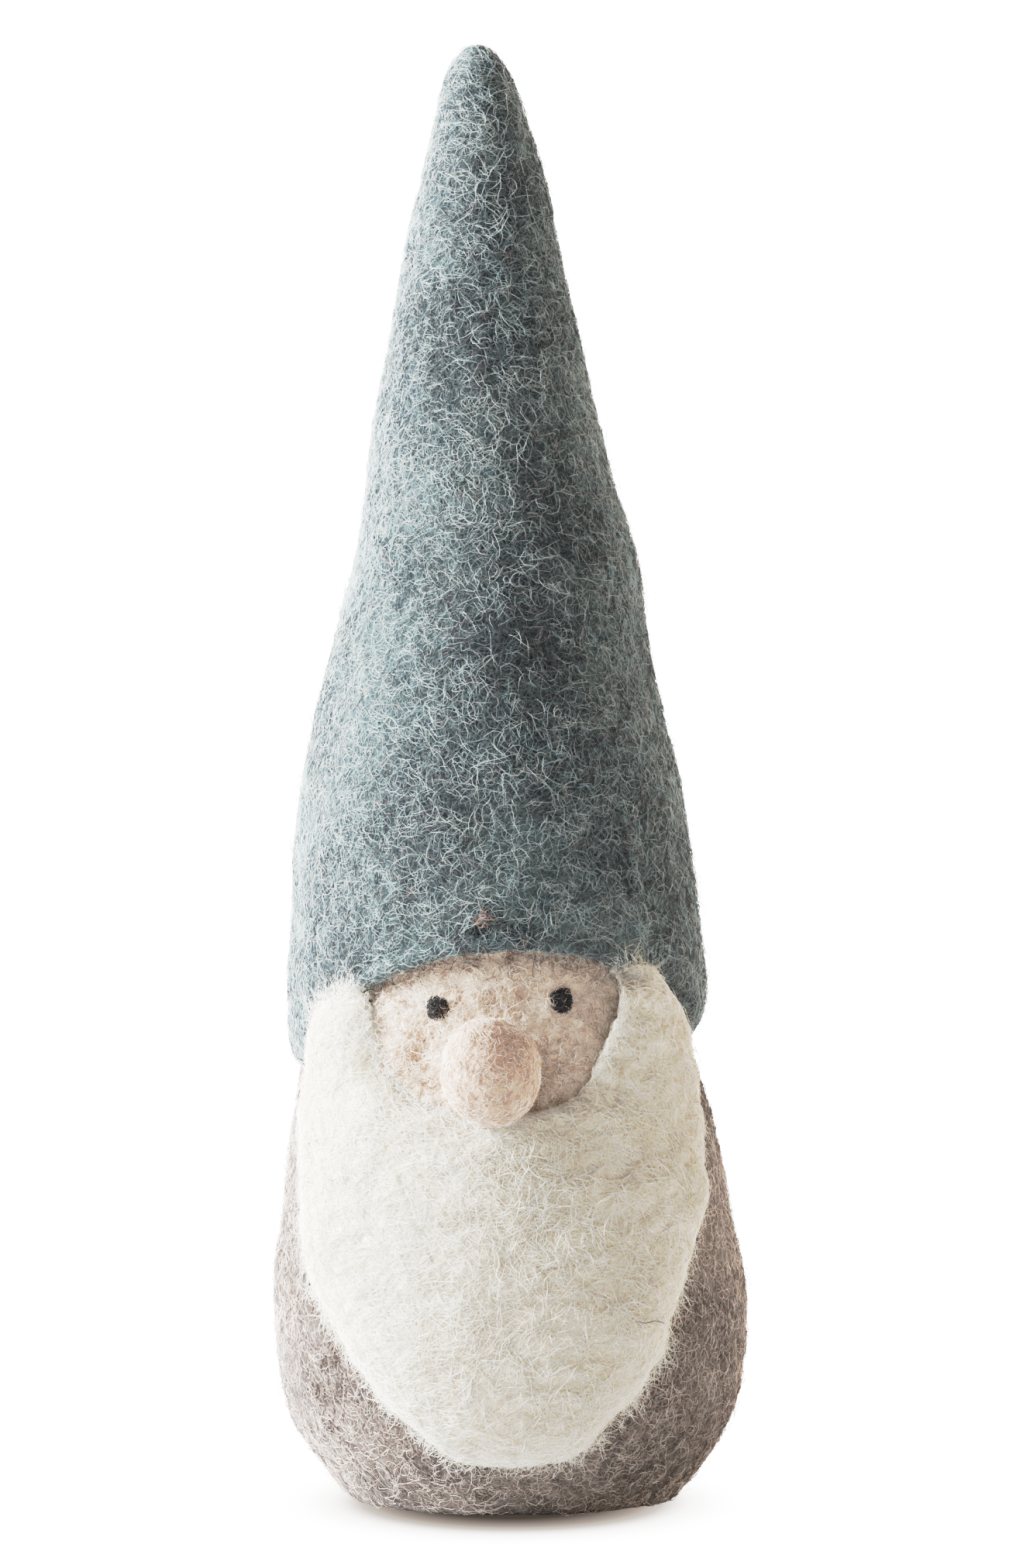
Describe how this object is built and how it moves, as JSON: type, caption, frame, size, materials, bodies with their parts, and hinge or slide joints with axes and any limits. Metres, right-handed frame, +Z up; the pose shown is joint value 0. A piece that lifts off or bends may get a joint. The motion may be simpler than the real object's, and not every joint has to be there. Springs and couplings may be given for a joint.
{
  "type": "tomte gnome figurine",
  "caption": "Free-standing hand-felted wool gnome with a tall pointed hat, a felt-ball nose and a full beard.",
  "frame": {"origin": "middle of the flat base, on the surface that the figurine stands on", "axes": "+Z up to the hat's tip, -Y the way the face looks, +X to the viewer's right when facing the face"},
  "size_m": [0.0971, 0.1082, 0.3],
  "materials": {
    "hat_felt": "matte",
    "body_felt": "matte",
    "base_felt": "matte",
    "thread": "matte",
    "cotton_cloth": "matte",
    "sand": "matte",
    "stuffing_wool": "matte",
    "skin_felt": "matte",
    "nose_felt": "matte",
    "black_wool": "matte",
    "beard_wool": "matte"
  },
  "bodies": {
    "root": {"hat_shell": "hat_felt", "body_shell": "body_felt", "base_disc": "base_felt", "closing_stitches": "thread", "ballast_pouch": "cotton_cloth", "ballast_sand": "sand", "body_stuffing": "stuffing_wool", "hat_stuffing": "stuffing_wool", "face_pad": "skin_felt", "nose_ball": "nose_felt", "eye_left": "black_wool", "eye_right": "black_wool", "beard": "beard_wool"}
  },
  "joints": []
}
